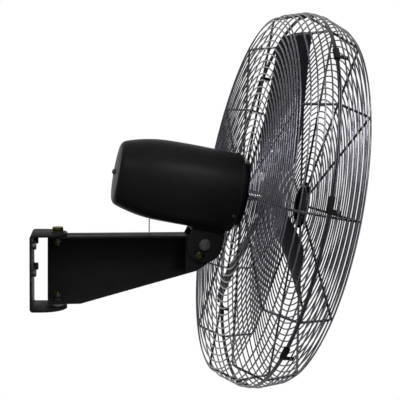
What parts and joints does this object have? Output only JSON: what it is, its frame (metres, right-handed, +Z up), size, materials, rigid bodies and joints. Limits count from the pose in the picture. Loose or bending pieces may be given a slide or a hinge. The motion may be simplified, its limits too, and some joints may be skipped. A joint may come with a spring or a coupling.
{
  "type": "wall mounted fan",
  "caption": "Wall mounted fan: C bracket, swinging channel arm, yoke that tilts a black motor, and a bladed rotor inside a round wire guard with front and rear halves.",
  "frame": {"origin": "centre of the wall bracket's back face, on the wall", "axes": "+Y into the wall, -Y the way the fan stands out, +Z up, +X to the fan's right seen from the wall's front"},
  "size_m": [0.8412, 0.6726, 0.8321],
  "materials": {
    "black_powder": "black powder coat, semi-gloss, fine orange peel",
    "black_housing": "black enamel over spun and pressed steel, semi-gloss",
    "guard_wire": "dark nickel plating on round wire, glossy",
    "hub_black": "dark grey enamel on cast hub",
    "blade_black": "blue black enamel on aluminium sheet, glossy",
    "rivet_aluminium": "bright aluminium, domed heads",
    "zinc_yellow": "yellow passivated zinc plating",
    "zinc_clear": "clear passivated zinc plating, dull",
    "steel_shaft": "ground steel",
    "cast_bell": "die cast end bell, black enamel",
    "steel_sheet": "galvanised sheet",
    "lamination": "stacked electrical steel",
    "copper": "enamelled copper end turns",
    "bearing_steel": "polished bearing steel",
    "nylon": "natural nylon",
    "gland_rubber": "black rubber",
    "capacitor_can": "pale plastic can",
    "terminal_plastic": "pale moulded plastic",
    "switch_plastic": "black moulded plastic",
    "bead_chain": "nickelled bead chain"
  },
  "bodies": {
    "mount": {"wall_bracket": "black_powder", "wall_nuts": "zinc_clear", "wall_washers": "zinc_clear", "pivot_bolt_top": "zinc_yellow", "pivot_bolt_bottom": "zinc_yellow", "pivot_nuts": "zinc_clear", "pivot_washers": "zinc_clear", "thrust_washer": "nylon", "spacer_bottom": "nylon"},
    "swing_arm": {"arm": "black_powder", "pivot_tube": "black_powder", "lock_tube": "black_powder", "arm_bushes": "nylon", "lock_bolt": "zinc_yellow", "lock_washers": "zinc_clear", "lock_nut": "zinc_yellow"},
    "head": {"yoke": "black_powder", "tilt_bolt": "zinc_clear", "tilt_nut": "zinc_clear", "tilt_washers": "zinc_clear", "tilt_shims": "nylon", "motor_cover": "black_housing", "saddle": "black_powder", "saddle_bolts": "zinc_clear", "rear_cap_nut": "zinc_clear", "cord_gland": "gland_rubber", "front_bell": "cast_bell", "cover_screws": "zinc_clear", "rear_bell": "cast_bell", "motor_frame": "steel_sheet", "bell_screws": "zinc_clear", "bearings": "bearing_steel", "stator": "lamination", "windings": "copper", "control_plate": "steel_sheet", "capacitor": "capacitor_can", "terminal_block": "terminal_plastic", "pull_switch": "switch_plastic", "chain_nozzle": "switch_plastic", "rear_guard_frame": "guard_wire", "rear_guard_rings": "guard_wire", "rear_side_rings": "guard_wire", "front_guard_frame": "guard_wire", "front_guard_rings": "guard_wire", "front_side_rings": "guard_wire", "front_disc": "black_powder", "guard_bolts": "zinc_clear", "guard_clips": "black_powder", "clip_screws": "zinc_clear"},
    "pull": {"pull_chain": "bead_chain", "chain_knob": "bead_chain"},
    "rotor": {"shaft": "steel_shaft", "rotor_core": "lamination", "fan_hub": "hub_black", "hub_screw": "zinc_clear", "blade_a": "blade_black", "blade_b": "blade_black", "blade_c": "blade_black", "blade_rivets": "rivet_aluminium"}
  },
  "joints": [
    {"name": "arm_swing", "type": "hinge", "parent": "mount", "child": "swing_arm", "pos_m": [0, -0.0575, 0], "axis": [0, 0, 1], "range_deg": [-23.4, 16.6]},
    {"name": "head_tilt", "type": "hinge", "parent": "swing_arm", "child": "head", "pos_m": [0.01877, -0.37344, 0.057], "axis": [0.9982, 0.0593, 0], "range_deg": [-14.9, 20.1]},
    {"name": "fan_spin", "type": "hinge", "parent": "head", "child": "rotor", "pos_m": [0.02799, -0.5286, 0.1525], "axis": [-0.0584, 0.9834, 0.1719], "continuous": true},
    {"name": "chain_pull", "type": "slide", "parent": "head", "child": "pull", "axis": [0, 0, -1], "range_m": [0, 0.01], "stiffness_N_per_m": 400, "springref_m": -0.002}
  ]
}
